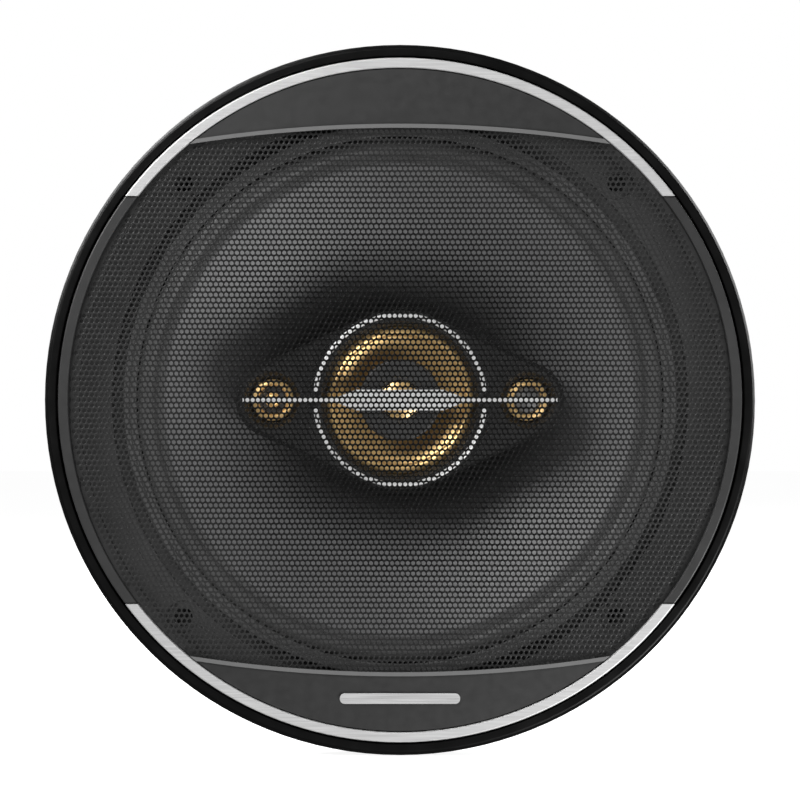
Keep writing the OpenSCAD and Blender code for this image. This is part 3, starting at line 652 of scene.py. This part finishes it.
def perforated_sheet(name, cells, low_z, high_z):
    """A closed sheet with a round hole in each pierced cell. The webs are a little crowned.

    The shading directions are given for every corner, so that they agree across the pieces' joins.
    """
    point = HOLE_PITCH * 0.17
    crown = 0.07
    around = 12
    web_half = 0.25
    turns = [math.pi / 2 - 2 * math.pi * k / around for k in range(around)]
    ring = [(math.cos(t), math.sin(t)) for t in turns]
    points, faces, normals, index = [], [], [], {}
    front_way, back_way = (0, -1, 0), (0, 1, 0)
    lean = crown / web_half
    tilted = [tuple(Vector((-c * lean, -1, -s * lean)).normalized()) for c, s in ring]
    radial = [(-c, 0, -s) for c, s in ring]

    def corner(i, j, top, z):
        key = (i, j, top, z)
        if key not in index:
            x = (i + 0.5 * (j % 2)) * HOLE_PITCH
            y = j * ROW_PITCH + (1 if top else -1) * (ROW_PITCH / 2 + point)
            away = math.hypot(x, y)
            if away > SHEET_R:
                x, y = x * SHEET_R / away, y * SHEET_R / away
            index[key] = len(points)
            points.append((x, y, z))
        return index[key]

    def outline(i, j, z):
        return [
            corner(i, j, True, z),
            corner(*neighbour(i, j, True, True), False, z),
            corner(*neighbour(i, j, True, False), True, z),
            corner(i, j, False, z),
            corner(*neighbour(i, j, False, False), True, z),
            corner(*neighbour(i, j, False, True), False, z),
        ]

    for (i, j), (x, y, pierced) in cells.items():
        front, back = outline(i, j, high_z), outline(i, j, low_z)
        if not pierced:
            faces += [front[::-1], back]
            normals.extend([front_way] * 6 + [back_way] * 6)
            continue
        rims = []
        for z, radius in ((high_z - crown, HOLE_R + 0.01), (low_z, HOLE_R - 0.02)):
            rims.append(list(range(len(points), len(points) + around)))
            points.extend((x + radius * c, y + radius * s, z) for c, s in ring)
        rim, base = rims
        for k in range(6):
            n = (k + 1) % 6
            a, b, c = 2 * k, 2 * k + 1, (2 * k + 2) % around
            faces.append([front[n], front[k], rim[a], rim[b], rim[c]])
            normals.extend([front_way, front_way, tilted[a], tilted[b], tilted[c]])
            faces.append([back[k], back[n], base[c], base[b], base[a]])
            normals.extend([back_way] * 5)
        for k in range(around):
            n = (k + 1) % around
            faces.append([rim[n], rim[k], base[k], base[n]])
            normals.extend([radial[n], radial[k], radial[k], radial[n]])
    # the sheet's own edge, where a side of a cell has no cell beyond it
    beyond = [(True, True), None, (True, False), (False, False), None, (False, True)]
    for i, j in cells:
        front, back = outline(i, j, high_z), outline(i, j, low_z)
        for k, way in enumerate(beyond):
            side = (i + (1 if k == 1 else -1), j) if way is None else neighbour(i, j, *way)
            if side not in cells:
                n = (k + 1) % 6
                faces.append([front[k], front[n], back[n], back[k]])
                a, b = np.array(points[front[k]]), np.array(points[front[n]])
                out = Vector((a[1] - b[1], 0, b[0] - a[0])).normalized()
                normals.extend([tuple(out)] * 4)
    piece = make_piece(name, points, faces, 40)
    piece.data.normals_split_custom_set(normals)
    return piece


def grille_sheet():
    """The perforated sheet in four quarters, which keeps each piece's mesh small."""
    cells = sheet_cells()
    parts = {}
    for key, cell in cells.items():
        parts.setdefault((cell[0] >= 0, cell[1] >= 0), {})[key] = cell
    for number, part in enumerate(parts.values(), 1):
        piece = perforated_sheet(f"grille_sheet_{number}", part, SHEET_BACK, SHEET_FRONT)
        finish_piece(piece, "mesh_steel", "grille", ["grille_mesh"])
        # so fine a mesh only dims what is behind it, and its own tiny shadows would be noise
        piece.visible_shadow = False
        piece.visible_diffuse = False
        piece.visible_glossy = False


# ---- Sealing strip ----


def sealing_strip():
    """A foam ring with a cushioned section, pierced by a small pilot hole at each screw."""
    low, high = local_box("sealing_strip")
    outer, back, face = high[0], low[2], high[2]
    inner = SCREW_R - 3.4
    pilot = 0.75
    soft, crisp = 0.5, 0.05
    corners = [(inner, back, soft), (outer, back, soft), (outer, face, crisp), (inner, face, crisp)]
    ring = turned("foam_strip", rounded(corners, 4), 240)
    cutters = []
    for a in np.radians([45, 135, 225, 315]):
        centre = (SCREW_R * math.cos(a), SCREW_R * math.sin(a))
        outline = [(0, back - 1), (pilot, back - 1), (pilot, face + 1), (0, face + 1)]
        hole = turned("pilot", outline, 16, centre)
        cutters.append(hole)
        cut = ring.modifiers.new("pilot", "BOOLEAN")
        cut.operation, cut.object, cut.solver = "DIFFERENCE", hole, "EXACT"
    apply_modifiers(ring)
    for hole in cutters:
        bpy.data.objects.remove(hole)
    finish_piece(ring, "sealing_foam", "frame", ["sealing_strip"])


# ---- Woofer ----


def cone_line(steps=60):
    """The cone's front line, from its neck to its edge."""
    lip = 1.8
    reach = CONE_R - lip - FORMER_R
    depth = CONE_FRONT - (CONE_BACK + CONE_T)
    share = np.linspace(0, 1, steps + 1) ** 1.25
    line = np.stack([FORMER_R + reach * share, CONE_BACK + CONE_T + depth * share**0.8], 1)
    return np.concatenate([line, [[CONE_R, CONE_FRONT]]])


def cone():
    """The woofer's paper cone."""
    line = cone_line()
    body = np.concatenate([line, (line - [0, CONE_T])[::-1]])
    finish_piece(turned("cone", body, 256), "cone_pulp", "woofer", ["woofer_cone"])


def surround():
    """The rubber half-roll between the basket and the cone's edge."""
    middle = ((SURROUND_R - GASKET_W + CONE_R) / 2, CONE_FRONT + CONE_T)
    roll = (SURROUND_R - GASKET_W - CONE_R) / 2
    over = arc_points(middle, roll, 176, 4, 28)
    front = [np.array([CONE_R - 1.6, middle[1]]), *over, np.array([SURROUND_R, middle[1]])]
    ring = turned("surround", thick(front, 0.5), 256, smooth_angle=60)
    finish_piece(ring, "surround_rubber", replaces=["woofer_surround"])
    radial_blend(ring)


def spider():
    """The corrugated cloth that centres the voice coil, flat where it is glued at both edges."""
    waves, glue, height, fade = 6, 4.0, 0.9, 1.5
    r = np.linspace(FORMER_R, SPIDER_R, 150)
    swell = np.clip((r - FORMER_R - 1) / fade, 0, 1) * np.clip((SPIDER_R - glue - r) / fade, 0, 1)
    span = SPIDER_R - glue - FORMER_R
    z = SPIDER_Z + 0.5 + height * swell * np.sin((r - FORMER_R) / span * waves * 2 * math.pi)
    sheet = turned("spider_corrugated", thick(np.stack([r, z], 1), 0.4), 192, smooth_angle=60)
    finish_piece(sheet, "spider_cloth", replaces=["spider"])
    radial_blend(sheet)


# ---- Midrange ----


def midrange():
    """The midrange's metal cone and the half-roll at its edge."""
    low, high = local_box("mid_cone")
    _, roll_high = local_box("mid_surround")
    wall = 0.3
    outer = high[0]
    share = np.linspace(0, 1, 29)
    height = low[2] + wall + (high[2] - low[2] - wall) * share**0.75
    line = np.stack([MID_NECK_R + (outer - MID_NECK_R) * share, height], 1)
    body = np.concatenate([line, (line - [0, wall])[::-1]])
    finish_piece(turned("midrange_cone", body), "gold_cone", "midrange", ["mid_cone"])

    seat = high[2] + 0.1
    glue_r = roll_high[0] - 1.55
    radius = (glue_r - outer) / 2
    over = arc_points((outer + radius, seat), radius, 178, 2, 20)
    front = [*over, np.array([roll_high[0], seat])]
    roll = turned("midrange_roll", thick(front, 0.28), smooth_angle=60)
    finish_piece(roll, "gold_surround", replaces=["mid_surround"])
    radial_blend(roll)


# ---- Tinsel leads ----


def smoothed(points, rounds=3):
    """A path with its corners cut away a few times, its ends kept."""
    line = [np.array(p, float) for p in points]
    for _ in range(rounds):
        cut = [line[0]]
        for a, b in zip(line[:-1], line[1:]):
            cut += [0.75 * a + 0.25 * b, 0.25 * a + 0.75 * b]
        line = [*cut, line[-1]]
    return np.array(line)


def tinsel():
    """Two flat braided leads, from the terminal board to the back of the cone."""
    turn = math.radians(-45)
    cos_turn, sin_turn = math.cos(turn), math.sin(turn)
    neck = 25.0
    front = cone_line()
    cone_back = float(np.interp(math.hypot(neck, 5), front[:, 0], front[:, 1])) - CONE_T
    for side, name in ((-1, "tinsel_lead_left"), (1, "tinsel_lead_right")):
        route = [
            (52, side * 15.5, -14.3),
            (48, side * 15, -12.4),
            (42, side * 12.5, -12.3),
            (36, side * 9.5, -14.3),
            (30, side * 7, -14.8),
            (neck, side * 5, cone_back - 0.9),
        ]
        x, y, z = smoothed(route).T
        line = np.stack([x * cos_turn - y * sin_turn, x * sin_turn + y * cos_turn, z], 1)
        piece = swept(name, line, 0.55)
        finish_piece(piece, "copper_braid", replaces=["tinsel_leads"])
        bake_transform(piece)


# ---- Studio ----


def aim(thing, target=(0, 0, 0)):
    """Turns a lamp or a camera toward a point."""
    thing.rotation_euler = (Vector(target) - thing.location).to_track_quat("-Z", "Y").to_euler()


def soft_light(name, place, size, power):
    """A square lamp aimed at the speaker."""
    data = bpy.data.lights.new(name, "AREA")
    data.shape, data.size, data.size_y = "RECTANGLE", size, size
    data.energy = power
    lamp = bpy.data.objects.new(name, data)
    lamp.location = place
    bpy.context.scene.collection.objects.link(lamp)
    aim(lamp)


def world_light(scene, strength):
    """An even light of this strength, seen as plain white by the camera."""
    world = bpy.data.worlds.new("studio")
    scene.world = world
    world.use_nodes = True
    tree = world.node_tree
    backdrop = tree.nodes["Background"]
    backdrop.inputs["Color"].default_value = (1, 1, 1, 1)
    fill = tree.nodes.new("ShaderNodeBackground")
    fill.inputs["Color"].default_value = (1, 1, 1, 1)
    fill.inputs["Strength"].default_value = strength
    seen = tree.nodes.new("ShaderNodeLightPath")
    mix = tree.nodes.new("ShaderNodeMixShader")
    tree.links.new(seen.outputs["Is Camera Ray"], mix.inputs[0])
    tree.links.new(fill.outputs[0], mix.inputs[1])
    tree.links.new(backdrop.outputs[0], mix.inputs[2])
    tree.links.new(mix.outputs[0], tree.nodes["World Output"].inputs["Surface"])


def pale_floor(scene):
    """A white floor just below the speaker, which adds no light of its own to it."""
    z = cad_low.z - 0.0002
    half = 3.0
    corners = [(-half, -half, z), (half, -half, z), (half, half, z), (-half, half, z)]
    mesh = bpy.data.meshes.new("floor")
    mesh.from_pydata(corners, [], [[0, 1, 2, 3]])
    floor = bpy.data.objects.new("floor", mesh)
    scene.collection.objects.link(floor)
    paper = Surface("floor_paper", grey(0.86), 0.8)
    paper.vary_colour(paper.noise(3, 2), 0.98, 1.02)
    paper.shader.inputs["Emission Color"].default_value = (1, 1, 1, 1)
    paper.shader.inputs["Emission Strength"].default_value = 0.9
    mesh.materials.append(paper.done())
    floor.visible_glossy = False
    floor.visible_diffuse = False
    floor.visible_shadow = False


def front_camera(scene):
    """A long lens straight in front, far enough back for the rim to fill its share of the width."""
    data = bpy.data.cameras.new("camera")
    data.lens, data.sensor_width = 135, 36
    camera = bpy.data.objects.new("camera", data)
    rim_share = 0.88625
    rim_front = 0.0125
    rim_width = cad_high.x - cad_low.x
    distance = rim_width * data.lens / (rim_share * data.sensor_width)
    camera.location = (0, -distance - rim_front, 0)
    scene.collection.objects.link(camera)
    aim(camera)
    scene.camera = camera


def studio():
    scene = bpy.context.scene
    scene.view_settings.view_transform = "Standard"
    world_light(scene, 0.09)
    soft_light("key", (-0.38, -0.46, 0.4), 0.42, 4.4)
    soft_light("second", (0.4, -0.46, -0.38), 0.42, 4.2)
    soft_light("back_left", (-0.55, 0.6, 0.5), 0.6, 9)
    soft_light("back_right", (0.6, 0.55, 0.25), 0.6, 7)
    pale_floor(scene)
    front_camera(scene)


finish_nodes()
grille_sheet()
sealing_strip()
cone()
surround()
spider()
midrange()
tinsel()
studio()
